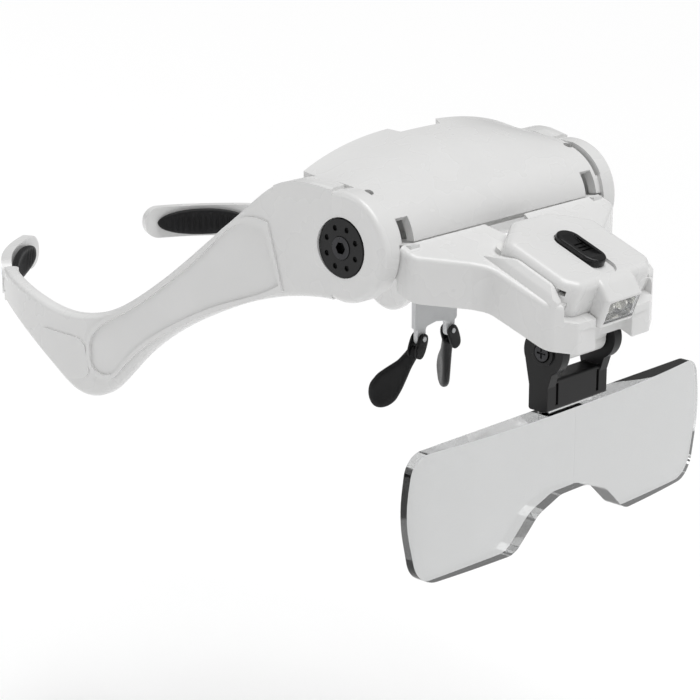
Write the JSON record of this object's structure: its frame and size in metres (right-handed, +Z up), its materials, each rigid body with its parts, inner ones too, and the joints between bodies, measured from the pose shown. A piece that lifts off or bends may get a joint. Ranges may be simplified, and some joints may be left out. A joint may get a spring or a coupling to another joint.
{
  "type": "head visor magnifier",
  "caption": "Head-worn visor magnifier: tilting lit bracket, flip-up binocular lens on a clip, sliding nose bridge and swivelling rear pads.",
  "frame": {"origin": "middle of the hinge line that joins the two side hubs, where the visor is held on the head", "axes": "+Z up, the wearer looks along -Y, +X is the wearer's left"},
  "size_m": [0.1468, 0.2403, 0.1159],
  "materials": {
    "white_shell": "moulded ABS, satin to gloss",
    "white_trim": "moulded ABS, fine satin",
    "black_plastic": "moulded, fine texture",
    "black_rubber": "soft matte",
    "clear_acrylic": "polished optical acrylic",
    "steel": "bright zinc plated",
    "cell_steel": "satin nickel",
    "chrome": "bright metallised",
    "brass": "plated spring brass",
    "board": "solder mask over glass fibre",
    "led_resin": "cast clear resin",
    "grey_polymer": "translucent grey, flexible"
  },
  "bodies": {
    "headband": {"crown_shell": "white_shell", "inner_frame": "white_shell", "temple_arm_right": "white_shell", "temple_arm_left": "white_shell", "arm_inlay_right": "white_trim", "arm_inlay_left": "white_trim", "elbow_cap_right": "white_trim", "elbow_cap_left": "white_trim", "paddle_pin_right": "steel", "paddle_pin_left": "steel", "hub_disc_right": "black_plastic", "hub_disc_left": "black_plastic", "pivot_screw_right": "steel", "pivot_screw_left": "steel", "pivot_nut_right": "steel", "pivot_nut_left": "steel", "thrust_washer_right": "grey_polymer", "thrust_washer_left": "grey_polymer", "nose_guide": "white_shell", "nose_guide_screws": "steel"},
    "bracket": {"front_bracket": "white_shell", "lamp_chassis": "white_shell", "coin_cell_lower": "cell_steel", "coin_cell_upper": "cell_steel", "contact_spring": "brass", "side_contact": "brass", "circuit_board": "board", "switch_box": "black_plastic", "lamp_cover": "white_shell", "lamp_screws": "steel", "led_board": "board", "reflector": "chrome", "light_window": "clear_acrylic", "led_right": "led_resin", "led_left": "led_resin", "clip_axle": "steel"},
    "cell_cap": {"battery_cap": "white_trim"},
    "switch_knob": {"slide_button": "black_plastic"},
    "clip": {"lens_clip": "black_plastic", "clip_leaf": "steel"},
    "magnifier": {"lens": "clear_acrylic"},
    "nose_bridge": {"nose_plate": "grey_polymer", "nose_pad_pin_right": "steel", "nose_pad_pin_left": "steel"},
    "nose_pad_r": {"nose_pad_right": "black_rubber"},
    "nose_pad_l": {"nose_pad_left": "black_rubber"},
    "paddle_r": {"rear_paddle_right": "white_shell", "rear_pad_right": "black_rubber"},
    "paddle_l": {"rear_paddle_left": "white_shell", "rear_pad_left": "black_rubber"}
  },
  "joints": [
    {"name": "front_tilt", "type": "hinge", "parent": "headband", "child": "bracket", "pos_m": [0, 0, 0], "axis": [-1, 0, 0], "range_deg": [0, 28]},
    {"name": "lens_flip", "type": "hinge", "parent": "bracket", "child": "clip", "pos_m": [0, -0.043, -0.0312], "axis": [-1, 0, 0], "range_deg": [-8, 90]},
    {"name": "lens_release", "type": "slide", "parent": "clip", "child": "magnifier", "axis": [0, 0, -1], "range_m": [0, 0.012]},
    {"name": "switch_slide", "type": "slide", "parent": "bracket", "child": "switch_knob", "axis": [0, -0.9336, -0.3584], "range_m": [0, 0.004]},
    {"name": "battery_cap_twist", "type": "hinge", "parent": "bracket", "child": "cell_cap", "pos_m": [0, -0.03569, -0.01863], "axis": [0, -0.3584, 0.9336], "range_deg": [0, 60]},
    {"name": "nose_bridge_slide", "type": "slide", "parent": "headband", "child": "nose_bridge", "axis": [0, 0, -1], "range_m": [0, 0.008]},
    {"name": "nose_pad_swivel_right", "type": "hinge", "parent": "nose_bridge", "child": "nose_pad_r", "pos_m": [-0.0068, 0.0119, -0.0396], "axis": [0, 1, 0], "range_deg": [-12, 12]},
    {"name": "nose_pad_swivel_left", "type": "hinge", "parent": "nose_bridge", "child": "nose_pad_l", "pos_m": [0.0068, 0.0119, -0.0396], "axis": [0, 1, 0], "range_deg": [-12, 12]},
    {"name": "rear_paddle_swivel_right", "type": "hinge", "parent": "headband", "child": "paddle_r", "pos_m": [-0.06079, 0.14525, -0.0365], "axis": [0, 0, 1], "range_deg": [-12, 12]},
    {"name": "rear_paddle_swivel_left", "type": "hinge", "parent": "headband", "child": "paddle_l", "pos_m": [0.06079, 0.14525, -0.0365], "axis": [0, 0, 1], "range_deg": [-12, 12]}
  ]
}
